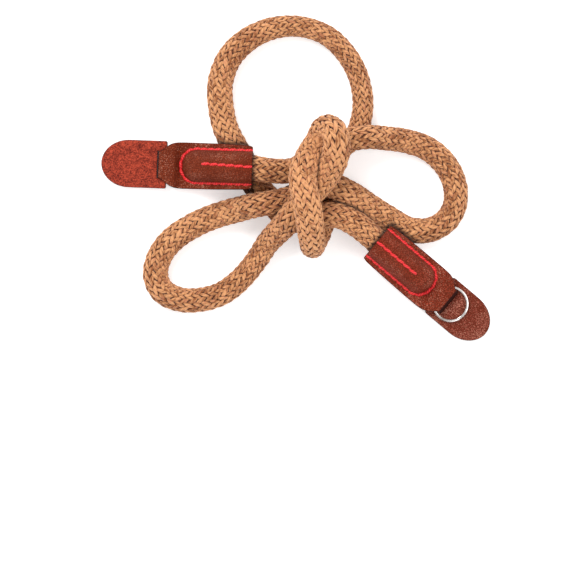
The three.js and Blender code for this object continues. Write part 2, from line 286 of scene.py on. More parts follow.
@dataclass(frozen=True)
class BraidFinish:
    """Soft twisted cotton yarn, tan on the crowns, with dark brown painted shade between the yarns and darker
    painted shade where rope or leather lies on it.

    Here and in the finishes below, a pattern is named with its features per metre, and a relief's depth is in
    metres.
    """

    light: Colour = srgb(228, 164, 112)
    mid: Colour = srgb(138, 78, 38)
    rose: Colour = srgb(200, 128, 94)
    # Painted shade between the yarns
    hollow_shade: Colour = srgb(98, 42, 12)
    # Painted shade where rope or leather lies on the yarns and on the rope's lower half
    crease: Colour = srgb(52, 20, 6)
    patches: float = 260.0
    blushes: float = 640.0
    fibres: float = 5200.0
    depth: float = 0.00026

    def material(self) -> Material:
        """Builds the material from the yarn's own map, its height in the braid, which paints shade into the
        hollows, its shade, and the painted shade where rope or leather lies on it.
        """
        graph = ShaderGraph("cotton_braid")
        along, around, _ = graph.split(graph.add("ShaderNodeUVMap", uv_map="yarn"))
        shade, crown, pulled, painted_shade = map(graph.attribute, ("shade", "crown", "pulled", "crease"))
        fibre = graph.vector(along * 0.55, (around + along * 0.22) * 9.0, shade * 31.0)
        streak = graph.noise(1.0, 4.0, 0.6, fibre)
        ply = ((around * 2.0 + along * 0.5) * (2.0 * math.pi)).sine().ramp(-0.9, 0.0)
        patch = graph.noise(self.patches, 2.0)
        tone = (streak * 1.2 + patch * 0.5 + shade * 0.2 + ply * 0.12 + pulled * 0.08).ramp(0.82, 1.22)
        blush = graph.noise(self.blushes, 2.0).ramp(0.5, 0.72) * 0.6
        colour = graph.mix(blush, graph.mix(tone, self.mid, self.light), self.rose)
        # Painted shade: the deeper a point lies in the braid, the darker it is painted
        colour = graph.mix((crown + pulled * 0.12).ramp(0.22, 0.86), self.hollow_shade, colour)
        # Painted shade where rope or leather lies on the yarns and on the rope's lower half
        colour = graph.mix(painted_shade * 0.86, colour, self.crease)
        fine = graph.noise(self.fibres, 2.0)
        normal = graph.bump(streak * 0.8 + fine * 0.3 + ply * 0.35, self.depth)
        return graph.finish(
            Base_Color=colour, Roughness=0.86, Normal=normal, Specular_IOR_Level=0.3,
            Sheen_Weight=0.18, Sheen_Roughness=0.5,
        )


@dataclass(frozen=True)
class HeartShadeFinish:
    """The yarn at the rope's heart, dark as painted shade where it shows in the gaps between the yarns."""

    light: Colour = srgb(104, 50, 18)
    dark: Colour = srgb(72, 32, 10)
    patches: float = 900.0

    def material(self) -> Material:
        """Builds the material."""
        graph = ShaderGraph("rope_heart")
        tone = graph.noise(self.patches, 2.0).ramp(0.35, 0.65)
        colour = graph.mix(tone, self.light, self.dark)
        return graph.finish(Base_Color=colour, Roughness=0.9, Specular_IOR_Level=0.2)


@dataclass(frozen=True)
class LeatherFinish:
    """Pebbled reddish brown leather with darker creases and cut edges, a painted shadow at the loop's nose,
    and pale specks painted on the grain as highlights.
    """

    name: str
    pebble: Colour = srgb(122, 46, 20)
    blush: Colour = srgb(142, 57, 29)
    crease: Colour = srgb(98, 34, 14)
    # The pale specks painted on the grain as highlights
    glint: Colour = srgb(208, 144, 120)
    edge: Colour = srgb(50, 16, 10)
    clouds: float = 130.0
    pebbles: float = 1150.0
    glint_specks: float = 2100.0
    grains: float = 4200.0
    depth: float = 0.00022
    gloss: float = 0.46

    def material(self) -> Material:
        """Builds the material from object coordinates, the mesh's cut edges and painted shadow, and its
        places of painted highlights.
        """
        graph = ShaderGraph(self.name)
        pebble = graph.cells(graph.warped(700.0, 0.0009), self.pebbles).ramp(0.0, 0.32)
        fine = graph.noise(self.grains)
        cloud = graph.noise(self.clouds)
        glint = graph.noise(self.glint_specks, rough=0.65, at=graph.warped(1500.0, 0.0005))
        # Pale specks painted as highlights where the mesh marks glints
        glinting = (glint + cloud * 0.3).ramp(0.7, 0.82) * (graph.attribute("painted_glints") * 0.62 + 0.1)
        colour = graph.mix((cloud * 0.8 + fine * 0.3).ramp(0.4, 0.72), self.pebble, self.blush)
        colour = graph.mix(pebble.ramp(0.0, 0.7), self.crease, colour)
        colour = graph.mix(glinting, colour, self.glint)
        # Dark cut edges, and the painted shadow at the loop's nose where the cover marks it
        colour = graph.mix(graph.attribute("edge"), colour, self.edge)
        rough = self.gloss + (1 - pebble) * 0.25 + fine * 0.12
        normal = graph.bump(pebble * 0.85 + fine * 0.15 + cloud * 0.3, self.depth)
        return graph.finish(Base_Color=colour, Roughness=rough, Normal=normal, Specular_IOR_Level=0.12)


@dataclass(frozen=True)
class SuedeFinish:
    """The napped flesh side of the leather, brick red and mottled."""

    dark: Colour = srgb(74, 14, 8)
    light: Colour = srgb(196, 76, 52)
    edge: Colour = srgb(60, 16, 12)
    blotches: float = 500.0
    naps: float = 1900.0
    depth: float = 0.0003

    def material(self) -> Material:
        """Builds the material."""
        graph = ShaderGraph("suede")
        blotch = graph.noise(self.blotches, rough=0.6)
        nap = graph.noise(self.naps, rough=0.75, at=graph.warped(900.0, 0.0006))
        colour = graph.mix((blotch * 0.3 + nap * 0.85).ramp(0.42, 0.74), self.dark, self.light)
        colour = graph.mix(graph.attribute("edge"), colour, self.edge)
        normal = graph.bump(nap * 0.7 + blotch * 0.5, self.depth)
        return graph.finish(
            Base_Color=colour, Roughness=0.96, Normal=normal, Specular_IOR_Level=0.15,
            Sheen_Weight=0.35, Sheen_Roughness=0.45,
        )


@dataclass(frozen=True)
class ThreadFinish:
    """Waxed bright red sewing thread of two twisted plies."""

    bright: Colour = srgb(252, 44, 48)
    deep: Colour = srgb(196, 18, 26)
    grains: float = 6000.0
    depth: float = 0.00012

    def material(self) -> Material:
        """Builds the material from each stitch's own length and turn."""
        graph = ShaderGraph("red_thread")
        lay = graph.add("ShaderNodeAttribute", output="Vector", attribute_name="lay")
        along, around, _ = graph.split(lay)
        ply = ((along * 5200.0 + around * 4200.0).sine() * 0.5 + 0.5).ramp(0.0, 0.6)
        normal = graph.bump(ply * 0.8 + graph.noise(self.grains, 2.0) * 0.2, self.depth)
        colour = graph.mix(ply, self.deep, self.bright)
        return graph.finish(Base_Color=colour, Roughness=0.48, Normal=normal, Specular_IOR_Level=0.5)


@dataclass(frozen=True)
class NickelFinish:
    """Bright nickel plate with fine rubbing marks."""

    bright: Colour = srgb(236, 230, 226)
    dull: Colour = srgb(168, 160, 154)
    rubs: float = 1500.0
    clouds: float = 160.0
    depth: float = 0.00002

    def material(self) -> Material:
        """Builds the material."""
        graph = ShaderGraph("bright_nickel")
        rub = graph.noise(self.rubs, 4.0, 0.7)
        colour = graph.mix(graph.noise(self.clouds, 2.0).ramp(0.4, 0.7), self.bright, self.dull)
        normal = graph.bump(rub, self.depth)
        return graph.finish(Base_Color=colour, Roughness=0.14 + rub * 0.16, Metallic=1.0, Normal=normal)


@dataclass(frozen=True)
class FloorFinish:
    """A plain pale table top."""

    colour: Colour = srgb(252, 252, 252)
    glow: float = 0.42

    def material(self) -> Material:
        """Builds the material."""
        return ShaderGraph("pale_table").finish(
            Base_Color=self.colour, Roughness=0.9, Emission_Color=WHITE, Emission_Strength=self.glow
        )


def placed(name: str, data: bpy.types.ID) -> Object:
    """Puts an object into the scene, at the origin."""
    made = bpy.data.objects.new(name, data)
    bpy.context.scene.collection.objects.link(made)
    return made


def mesh_object(name: str, points: Array, faces: list, material: Material) -> Object:
    """Makes a smooth-shaded mesh object in the scene.

    Args:
        name: The object's name.
        points: Its points, in millimetres in the part's frame.
        faces: Tuples of point numbers.
        material: Its finish.

    Returns:
        The object, at the origin.
    """
    mesh = bpy.data.meshes.new(name)
    mesh.from_pydata((np.asarray(points, float) * MM).tolist(), [], faces)
    mesh.materials.append(material)
    mesh.shade_smooth()
    mesh.update()
    return placed(name, mesh)


def set_attribute(mesh: Mesh, name: str, values: Array) -> None:
    """Writes one number, or one vector, for each point of a mesh."""
    values = np.asarray(values, np.float32)
    kind, key = ("FLOAT", "value") if values.ndim == 1 else ("FLOAT_VECTOR", "vector")
    mesh.attributes.new(name, kind, "POINT").data.foreach_set(key, values.ravel())


def coordinates(mesh: Mesh) -> Array:
    """A mesh's points, in its own unit."""
    points = np.zeros(len(mesh.vertices) * 3)
    mesh.vertices.foreach_get("co", points)
    return points.reshape(-1, 3)


def move_points(mesh: Mesh, points: Array, sharp: float) -> None:
    """Moves a mesh's points to places in millimetres, and keeps edges over an angle in degrees sharp."""
    mesh.vertices.foreach_set("co", (points * MM).ravel())
    mesh.update()
    mesh.shade_smooth()
    mesh.set_sharp_from_angle(angle=math.radians(sharp))


def baked(source: Object, name: str) -> Object:
    """Turns an object and its modifiers into a plain mesh object, and removes the source.

    Args:
        source: The object with its modifiers.
        name: The new object's name.

    Returns:
        The plain object.
    """
    graph = bpy.context.evaluated_depsgraph_get()
    mesh = bpy.data.meshes.new_from_object(source.evaluated_get(graph))
    old = source.data
    bpy.data.objects.remove(source)
    bpy.data.meshes.remove(old)
    mesh.name = name
    return placed(name, mesh)


@dataclass
class Tube:
    """A closed skin over rings of points, one ring for each place along a line."""

    rings: Array

    def faces(self) -> list[tuple[int, ...]]:
        """The quads between the rings, and the two ends."""
        count, sides = self.rings.shape[:2]
        i, j = np.meshgrid(np.arange(count - 1), np.arange(sides), indexing="ij")
        a = (i * sides + j).ravel()
        b = (i * sides + (j + 1) % sides).ravel()
        quads = [tuple(q) for q in np.stack([a, b, b + sides, a + sides], 1).tolist()]
        return [*quads, tuple(reversed(range(sides))), tuple(range((count - 1) * sides, count * sides))]

    def build(self, name: str, material: Material) -> Object:
        """Makes the skin an object, with doubled points merged and its faces turned outwards.

        Args:
            name: The object's name.
            material: Its finish.

        Returns:
            The object.
        """
        made = mesh_object(name, self.rings.reshape(-1, 3), self.faces(), material)
        shape = bmesh.new()
        shape.from_mesh(made.data)
        bmesh.ops.remove_doubles(shape, verts=shape.verts, dist=DOUBLED)
        bmesh.ops.recalc_face_normals(shape, faces=shape.faces)
        shape.to_mesh(made.data)
        shape.free()
        return made


def round_rings(centre: Array, first: Array, second: Array, radius: float, sides: int) -> Array:
    """Round rings of points about a line.

    Args:
        centre: The line's points.
        first: One axis across the line at each.
        second: The other axis.
        radius: The rings' radius.
        sides: The number of points in each.

    Returns:
        The rings.
    """
    turn = np.linspace(0, 2 * math.pi, sides, endpoint=False)
    wheel = np.cos(turn)[None, :, None] * first[:, None] + np.sin(turn)[None, :, None] * second[:, None]
    return centre[:, None] + radius * wheel


class Side(Enum):
    """The strap's two ends."""

    LEFT = "left"
    RIGHT = "right"


class Face(Enum):
    """The two sides of a sewn cover."""

    TOP = 1
    UNDER = -1


@dataclass(frozen=True)
class EndPlace:
    """Where a cover's mouth lies in the route's frame, and how its guard and ring are made and stacked."""

    x: float
    y: float
    heading: float
    mouth_height: float
    ring_under_guard: bool
    guard_width: float
    guard_length: float
    guard_bridge: float
    guard_corner: float
    centre_slant: float
    nose_shade: float

    @property
    def turn(self) -> Pair:
        """The cosine and the sine of the heading."""
        angle = math.radians(self.heading)
        return math.cos(angle), math.sin(angle)

    def to_part(self, points: Array) -> Array:
        """Takes points from the cover's own frame, with its loop along +X, to the part's frame."""
        cos, sin = self.turn
        x = cos * points[..., 0] - sin * points[..., 1] + self.x - MIDDLE[0]
        y = sin * points[..., 0] + cos * points[..., 1] + self.y - MIDDLE[1]
        return np.stack([x, y, points[..., 2]], -1)

    def to_cover(self, points: Array) -> Array:
        """Takes points from the part's frame to the cover's own."""
        cos, sin = self.turn
        x = points[..., 0] - self.x + MIDDLE[0]
        y = points[..., 1] - self.y + MIDDLE[1]
        return np.stack([cos * x + sin * y, -sin * x + cos * y, points[..., 2]], -1)


PLACES = {
    Side.LEFT: EndPlace(
        x=-17.9, y=3.9, heading=177.7, mouth_height=18.2, ring_under_guard=True, guard_width=19.8,
        guard_length=27.6, guard_bridge=2.1, guard_corner=0.8, centre_slant=0.8, nose_shade=0.35,
    ),
    Side.RIGHT: EndPlace(
        x=33.7, y=-26.7, heading=-40.0, mouth_height=14.4, ring_under_guard=False, guard_width=19.0,
        guard_length=25.8, guard_bridge=4.1, guard_corner=1.6, centre_slant=0.0, nose_shade=1.0,
    ),
}


@dataclass(frozen=True)
class CoverSizes:
    """A sewn cover's sizes in millimetres, as the CAD source has them."""

    rope_height: float = 6.4
    dome_radius: float = 6.4
    seat_radius: float = 5.2
    rope_inside: float = 22.0
    leather: float = 1.4
    seam_height: float = 4.0
    dome_start: float = 23.5
    dome_taper: float = 5.7
    seam_end: float = 30.3
    loop_length: float = 9.1
    loop_top: float = 6.3
    cover_width: float = 19.3
    strip_width: float = 11.2
    fit: float = 0.3

    @property
    def length(self) -> float:
        """The whole cover's length."""
        return self.seam_end + self.loop_length

    def _from_seam_end(self, along: Array) -> Array:
        """The share of the sewn length that is left ahead of a place, 0 beyond it."""
        return np.clip((self.seam_end - along) / self.seam_end, 0, None)

    def lift(self, mouth_height: float, along: Array) -> Array:
        """How far the cover is raised above the table at a distance from its mouth."""
        t = self._from_seam_end(along)
        return (mouth_height - self.rope_height) * t * t * (3 - 2 * t)

    def taller(self, mouth_height: float, along: Array) -> Array:
        """How much more of the dome an upright section cuts where the rope slopes."""
        t = self._from_seam_end(along)
        slope = 6 * (mouth_height - self.rope_height) * t * (1 - t) / self.seam_end
        return self.dome_radius * (np.hypot(1, slope) - 1)


SIZES = CoverSizes()


@dataclass
class RopeLine:
    """The rope's centre line: a smooth curve through the two seats and the route between them."""

    steps_between: int = 60
    seat_shares: tuple[float, ...] = (1.0, 0.75, 0.5, 0.25, 0.0)
    points: Array = field(init=False)
    along: Array = field(init=False)

    def __post_init__(self) -> None:
        """Works the curve out once, finely."""
        route = np.array(ROUTE, float) - np.array([MIDDLE[0], MIDDLE[1], 0.0])
        self.points = self._curve(np.vstack([self._seat(Side.LEFT), route, self._seat(Side.RIGHT)[::-1]]))
        steps = np.linalg.norm(np.diff(self.points, axis=0), axis=1)
        self.along = np.concatenate([[0.0], np.cumsum(steps)])

    @property
    def length(self) -> float:
        """The rope's whole length in millimetres."""
        return float(self.along[-1])

    def _seat(self, side: Side) -> Array:
        """The line's points inside a cover, from the rope's end to the mouth."""
        place = PLACES[side]
        x = np.array(self.seat_shares) * SIZES.rope_inside
        z = SIZES.rope_height + SIZES.lift(place.mouth_height, x)
        return place.to_part(np.stack([x, np.zeros_like(x), z], 1))

    def _curve(self, p: Array) -> Array:
        """A centripetal Catmull-Rom curve through the points."""
        p = np.vstack([2 * p[0] - p[1], p, 2 * p[-1] - p[-2]])
        t = np.linspace(0, 1, self.steps_between, endpoint=False)[:, None]
        spans = []
        for a, b, c, d in zip(p[:-3], p[1:-2], p[2:-1], p[3:]):
            d0, d1, d2 = (math.sqrt(np.linalg.norm(v)) for v in (b - a, c - b, d - c))
            m1 = ((b - a) / d0 - (c - a) / (d0 + d1) + (c - b) / d1) * d1
            m2 = ((c - b) / d1 - (d - b) / (d1 + d2) + (d - c) / d2) * d1
            cubic = (2 * b - 2 * c + m1 + m2) * t**3 + (3 * c - 3 * b - 2 * m1 - m2) * t**2
            spans.append(cubic + m1 * t + b)
        return np.vstack([*spans, p[-2]])

    def at(self, along: Array) -> Array:
        """Points at distances along the line."""
        return np.stack([np.interp(along, self.along, self.points[:, k]) for k in range(3)], 1)

    def frames(self, along: Array) -> tuple[Array, Array, Array]:
        """Points with two axes across the line, which turn no more than the line does.

        Args:
            along: The distances along the line.

        Returns:
            The points, and the first and the second axis at each.
        """
        points = self.at(along)
        tangents = unit(np.gradient(points, axis=0))
        first = np.zeros_like(points)
        across = np.cross(tangents[0], UP)
        for i, tangent in enumerate(tangents):
            across = across - tangent * (across @ tangent)
            across /= np.linalg.norm(across)
            first[i] = across
        return points, first, np.cross(tangents, first)


@dataclass
class BraidedRope:
    """The rope: two sets of yarns that wind round it in opposite ways, two over and two under.

    Lengths are in millimetres. The yarns that run one way are over the others on one half of each of the
    braid's ribs, so the floats stand in rows along the rope, as herringbone.
    """

    line: RopeLine
    yarns: int = 16
    yarns_per_piece: int = 8
    lay: float = 55.0
    stretched_lay: float = 0.4
    middle_radius: float = 4.08
    wave: float = 0.62
    step_up: float = 1.5
    yarn_width: float = 1.82
    float_swell: Pair = (0.74, 0.26)
    yarn_thickness: float = 1.15
    unevenness: float = 0.05
    samples: int = 1180
    seed: int = 11
    section: tuple[float, ...] = (90, 58, 26, -12, -90, 192, 154, 122)
    real_diameter: float = 10.0
    path_points: int = 400
    core_radius: float = 3.3
    core_samples: int = 420
    core_sides: int = 12
    core_inset: float = 0.2
    # A yarn's points get the full painted shade of the hollows at the first height above the line, and none
    # at the crowns a span above it
    crown_low: float = 3.8
    crown_span: float = 1.4
    crown_fall: float = 0.35
    # Other rope counts as near from this far off along the line, and each pair is from no painted shade to
    # full painted shade
    shadow_apart: float = 13.0
    shadow_step: float = 3.0
    shadow_reach: Pair = (7.1, 5.2)
    mouth_reach: Pair = (1.9, 0.2)
    under_reach: Pair = (0.34, -0.3)
    under_share: float = 0.5
    full_pull: float = 0.1
    # Shares of the change in width by which the rope gets lower where pressed and where pulled thin
    lower_pressed: float = 0.35
    lower_pulled: float = 0.4
    width_reach: int = 9
    # Distances along the rope and its width there, as a share of the usual, after the photograph
    widths: tuple[Pair, ...] = (
        (0, 1.0), (40, 1.0), (75, 0.97), (110, 1.0), (135, 0.97), (155, 1.03), (185, 1.07), (215, 0.98),
        (235, 1.03), (285, 1.03), (310, 0.98), (335, 0.92), (348, 0.93), (365, 1.1), (385, 1.13), (405, 1.12),
        (417, 1.0), (430, 1.12), (465, 1.14), (485, 0.95), (525, 0.93), (540, 0.9), (552, 0.84), (600, 0.84),
        (612, 0.92), (624, 1.0), (645, 1.05), (700, 1.02), (715, 1.08), (735, 1.05), (750, 1.0),
    )

    def wider(self, along: Array) -> Array:
        """How much wider than usual the rope is where it is pressed, or less where it is pulled thin."""
        places, shares = np.array(self.widths).T
        return smooth(np.interp(along, places, shares), self.width_reach) - 1

    def strand_set(self, name: str, direction: int, first_yarn: int, material: Material) -> Object:
        """Builds half of the yarns that wind one way.

        Args:
            name: The piece's name.
            direction: 1 or -1, the way that they wind.
            first_yarn: 0 for the even yarns or 1 for the odd ones.
            material: Their finish.

        Returns:
            One mesh of closed yarns.
        """
        along = np.linspace(0, self.line.length, self.samples)
        frames = self.line.frames(along)
        wider = self.wider(along)
        lay = self.lay * (1 + self.stretched_lay * np.clip(wider, 0, None))
        turns = np.cumsum(np.gradient(along) / lay)
        random = np.random.default_rng(self.seed + 2 * direction + first_yarn)
        sides = len(self.section)
        rings, crowns, shades, painted_shades = [], [], [], []
        for k in range(self.yarns_per_piece):
            share = (2 * k + first_yarn + 0.5 * (direction < 0)) / self.yarns
            phi = 2 * math.pi * (direction * turns + share)
            beat = direction * np.sin(self.yarns / 2 * phi)
            ring, height = self._yarn(frames, phi, beat, random)
            ring = self._pressed(ring, frames[0], along)
            rings.append(ring)
            # How high each point lies in the braid, which sets how much shade is painted into the hollows
            crowns.append((height - self.crown_low) / self.crown_span)
            shades.append(np.full(height.size, random.random()))
            painted_shades.append(self._painted_shade(ring, frames[0], along))
        points = np.concatenate(rings).reshape(-1, 3)
        count = len(points) // self.yarns_per_piece
        one = Tube(rings[0]).faces()
        faces = [tuple(v + k * count for v in f) for k in range(self.yarns_per_piece) for f in one]
        made = mesh_object(name, points, faces, material)
        layer = made.data.uv_layers.new(name="yarn")
        uv = np.tile(self._map(along, sides), (self.yarns_per_piece, 1))
        layer.data.foreach_set("uv", uv.astype(np.float32).ravel())
        pulled = np.repeat(np.clip(wider / self.full_pull, 0, 1), sides)
        set_attribute(made.data, "crown", np.clip(np.concatenate(crowns), 0, 1).ravel())
        set_attribute(made.data, "shade", np.concatenate(shades))
        # The painted shade where rope or leather lies on the yarns and on the rope's lower half
        set_attribute(made.data, "crease", np.concatenate(painted_shades).ravel())
        set_attribute(made.data, "pulled", np.tile(pulled, self.yarns_per_piece))
        return made

    def _yarn(
        self, frames: tuple[Array, Array, Array], phi: Array, beat: Array, random: np.random.Generator
    ) -> tuple[Array, Array]:
        """Lays one yarn.

        Args:
            frames: The line's points and its two axes across at each place.
            phi: The yarn's angle round the line.
            beat: 1 where the yarn is over the others and -1 where it is under them.
            random: Gives its small differences from the others.

        Returns:
            Its section's points at each place, and how high they lie in the braid.
        """
        centre, first, second = frames
        angles = np.radians(self.section)
        over = np.tanh(self.step_up * beat) / math.tanh(self.step_up)
        radius = self.middle_radius + self.wave * over + self.unevenness * random.standard_normal()
        out = np.cos(phi)[:, None] * first + np.sin(phi)[:, None] * second
        path = centre + radius[:, None] * out
        tangent = unit(np.gradient(path, axis=0))
        up = unit(out - tangent * (out * tangent).sum(1, keepdims=True))
        side = np.cross(tangent, up)
        usual, swell = self.float_swell
        uneven = 1 + self.unevenness * random.standard_normal()
        half = self.yarn_width / 2 * (usual + swell * beat) * uneven
        thick = self.yarn_thickness / 2 * np.sin(angles)
        ring = (
            path[:, None, :]
            + (half[:, None] * np.cos(angles))[..., None] * side[:, None, :]
            + thick[None, :, None] * up[:, None, :]
        )
        fall = self.crown_fall * np.abs(np.cos(angles)) ** 3
        return ring, radius[:, None] + thick[None, :] - fall[None, :]

    def _painted_shade(self, ring: Array, centre: Array, along: Array) -> Array:
        """How much shade is painted on the yarns where rope or leather lies on them, and on the rope's lower
        half.

        Args:
            ring: The section's points at each place.
            centre: The line's point at each place.
            along: Each place's distance along the line.

        Returns:
            A share for each point, 0 in the open and 1 in a tight crease.
        """
        places = np.arange(0, self.line.length, self.shadow_step)
        apart = np.abs(along[:, None] - places[None, :]) > self.shadow_apart
        near = np.linalg.norm(ring[:, :, None] - self.line.at(places)[None, None], axis=3)
        near = np.where(apart[:, None], near, np.inf).min(2)
        crease = smooth_step(*self.shadow_reach, near)
        for place in PLACES.values():
            local = place.to_cover(ring)
            over_end = np.maximum(np.maximum(-local[..., 0], local[..., 0] - SIZES.seam_end), 0)
            over_side = np.maximum(np.abs(local[..., 1]) - SIZES.cover_width / 2, 0)
            crease = np.maximum(crease, smooth_step(*self.mouth_reach, np.hypot(over_end, over_side)))
        # Painted shade on the rope's lower half
        off = ring - centre[:, None]
        level = off[..., 2] / np.linalg.norm(off, axis=2)
        return np.maximum(crease, self.under_share * smooth_step(*self.under_reach, level))

    def _pressed(self, ring: Array, centre: Array, along: Array) -> Array:
        """Widens the rope's section where it is pressed, and narrows it where it is pulled thin.

        Args:
            ring: The section's points at each place.
            centre: The line's point at each place.
            along: Each place's distance along the line.

        Returns:
            The changed points.
        """
        tangent = unit(np.gradient(centre, axis=0))
        level = unit(np.cross(tangent, UP))
        wider = self.wider(along)
        taller = np.where(wider > 0, -self.lower_pressed, self.lower_pulled) * wider
        off = ring - centre[:, None]
        for axis, change in ((level, wider), (np.cross(level, tangent), taller)):
            part = (off * axis[:, None]).sum(2, keepdims=True) * axis[:, None]
            ring = ring + part * change[:, None, None]
        return ring

    def _map(self, along: Array, sides: int) -> Array:
        """Each face corner's distance along its yarn, in millimetres, and share of the way round it."""
        i, j = np.meshgrid(np.arange(len(along) - 1), np.arange(sides), indexing="ij")
        i, j = i.ravel(), j.ravel()
        low, high = along[i], along[i + 1]
        near, far = j / sides, (j + 1) / sides
        quads = np.stack([low, near, low, far, high, far, high, near], 1).reshape(-1, 2)
        caps = np.concatenate([np.zeros((sides, 2)), np.full((sides, 2), along[-1])])
        return np.vstack([quads, caps])

    def core(self, material: Material) -> Object:
        """The heart of the rope, which closes the gaps between the yarns and is dark as painted shade in
        them.
        """
        along = np.linspace(self.core_inset, self.line.length - self.core_inset, self.core_samples)
        centre, first, second = self.line.frames(along)
        ring = round_rings(centre, first, second, self.core_radius, self.core_sides)
        return Tube(self._pressed(ring, centre, along)).build("rope_heart", material)

    def build(self) -> list[Object]:
        """Returns:
            Its pieces.
        """
        cotton = BraidFinish().material()
        heart = HeartShadeFinish().material()
        sets = [
            self.strand_set(f"rope_yarns_{lay}_laid_{order}", direction, first_yarn, cotton)
            for lay, direction in (("right", 1), ("left", -1))
            for first_yarn, order in enumerate(("even", "odd"))
        ]
        core = self.core(heart)
        pieces = [*sets, core]
        for piece in pieces:
            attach(piece, BODY)
        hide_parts("rope")
        path = self.line.at(np.linspace(0, self.line.length, self.path_points)) * MM
        mouth = self.line.at(np.array([SIZES.rope_inside]))[0] * MM
        return pieces


@dataclass
class SewnCover:
    """A strip of leather folded round the rope's end, sewn shut in a U and looped through the guard.

    Lengths are in millimetres and angles in degrees. A row of sewn holds a share of the sewn length and, at
    that place, the share of the width beyond the strip's. A row of loop holds a share of the loop's length
    and the shares of that width, of the loop's rise and of the underside's height.
    """

    side: Side
    crown_groove: float = 0.45
    crown_width: float = 1.1
    crown_fade: Pair = (1.5, -1.0)
    seam_groove: float = 0.34
    seam_width: float = 0.8
    under_groove: float = 0.6
    edge: float = 0.5
    edge_turns: tuple[float, ...] = (0, 22.5, 45, 67.5, 90)
    notch: float = 0.4
    notch_half: float = 0.22
    across: int = 57
    softness: float = 1.2
    mouth_steps: tuple[float, ...] = (0.0, 0.06, 0.18, 0.36)
    sewn_start: float = 0.8
    sewn_step: float = 0.4
    nose: Pair = (0.89, 0.11)
    sewn: tuple[Pair, ...] = (
        (0.0, 0.7), (0.02, 0.8), (0.05, 0.87), (0.2, 0.92), (0.45, 0.97), (0.65, 0.99), (0.775, 1.0),
        (0.875, 1.0), (0.965, 1.0), (1.0, 0.99),
    )
    loop: tuple[tuple[float, float, float, float], ...] = (
        (0.23, 0.93, 1.0, 0.36), (0.36, 0.84, 1.0, 0.0), (0.55, 0.62, 0.93, 0.0), (0.68, 0.34, 0.88, 0.0),
        (0.8, 0.06, 0.83, 0.0), (0.89, 0.0, 0.76, 0.0), (0.965, 0.0, 0.42, 0.12), (1.0, 0.0, -0.05, 0.4),
    )
    seam_start: float = 1.9
    seam_half: float = 6.85
    seam_turn: float = 23.6
    seam_far: float = 29.75
    centre_end: float = 19.3
    # Bands and margins where pale specks are painted on the grain as highlights
    band_middle: float = 4.0
    band_width: float = 1.2
    band_share: float = 0.8
    margin_glints: Pair = (-0.8, 0.4)
    # How far the dark mark reaches on cut edges and inside, and the painted shadow at the loop's nose
    rim_shade: Pair = (0.32, 0.08)
    mouth_shade: Pair = (0.12, 0.0)
    seat_shade: Pair = (5.7, 5.3)
    nose_fade: float = 0.2
    seat_rings: int = 26
    seat_sides: int = 40
    seat_spare: float = 6.0
    sharp: float = 48.0

    @property
    def place(self) -> EndPlace:
        """Where this cover lies."""
        return PLACES[self.side]

    def _profile(self, along: Array) -> tuple[Array, Array, Array]:
        """The cover's outline without the dome and the lift.

        Args:
            along: Distances from the mouth, in rising order.

        Returns:
            The half width, and the heights of the flat top and of the bottom.
        """
        s = SIZES
        sewn, loop = np.array(self.sewn), np.array(self.loop)
        x = np.concatenate([sewn[:, 0] * s.seam_end, s.seam_end + loop[:, 0] * s.loop_length])
        share = np.concatenate([sewn[:, 1], loop[:, 1]])
        rise = np.concatenate([np.zeros(len(sewn)), loop[:, 2]]) * (s.loop_top - s.seam_height)
        under = np.concatenate([np.ones(len(sewn)), loop[:, 3]]) * (s.seam_height - s.leather)
        half = (s.strip_width + np.interp(along, x, share) * (s.cover_width - s.strip_width)) / 2
        reach = np.linspace(-self.softness, self.softness, 9)
        half = np.mean([np.interp(along + r, along, half) for r in reach], axis=0)
        return half, np.interp(along, x, s.seam_height + s.leather + rise), np.interp(along, x, under)

    def _profile_at(self, x: Array) -> list[Array]:
        """The same outline, at distances in any order."""
        run = np.linspace(0, SIZES.length, 400)
        return [np.interp(x, run, values) for values in self._profile(run)]

    def seam_line(self, count: int = 80) -> Array:
        """The U seam in plan, from one side of the mouth round the rope's end to the other."""
        turn = np.linspace(-math.pi / 2, math.pi / 2, count // 2)
        x = self.seam_turn + (self.seam_far - self.seam_turn) * np.cos(turn)
        y = self.seam_half * np.sin(turn)
        run = np.linspace(self.seam_start, self.seam_turn, count // 4, endpoint=False)
        low = np.stack([run, np.full_like(run, -self.seam_half)], 1)
        high = np.stack([run[::-1], np.full_like(run, self.seam_half)], 1)
        return np.vstack([low, np.stack([x, y], 1), high])

    def centre_line(self, count: int = 30) -> Array:
        """The short straight seam through the rope, in plan."""
        run = np.linspace(self.seam_start, self.centre_end, count)
        return np.stack([run, -self.place.centre_slant * run / self.centre_end], 1)

    def height(self, face: Face, x: Array, y: Array, flat: Array) -> Array:
        """The height of one side of the cover.

        Args:
            face: The top or the underside.
            x: Distance from the mouth.
            y: Distance from the middle.
            flat: The height of the sewn margin there.

        Returns:
            The height above the table.
        """
        s = SIZES
        taper = np.clip((x - s.dome_start) / s.dome_taper, 0, None)
        dome = np.sqrt(np.clip(1 - (y / (s.dome_radius + s.fit)) ** 2 - taper**2, 0, None))
        seam = self.seam_line(160)
        away = np.hypot(x[:, None] - seam[:, 0], y[:, None] - seam[:, 1]).min(1)
        groove = self.seam_groove * np.exp(-((away / self.seam_width) ** 2))
        raise_by = s.lift(self.place.mouth_height, x)
        taller = s.taller(self.place.mouth_height, x)
        if face is Face.UNDER:
            return flat - dome * (s.seam_height - s.leather + taller) + groove * self.under_groove + raise_by
        past, before = self.crown_fade
        inner = smooth_step(self.centre_end + past, self.centre_end + before, x)
        off_line = y + self.place.centre_slant * x / self.centre_end
        middle = self.crown_groove * np.exp(-((off_line / self.crown_width) ** 2)) * inner
        tall = s.rope_height + s.dome_radius - s.seam_height - s.leather + taller
        return flat + dome * tall - groove - middle + raise_by

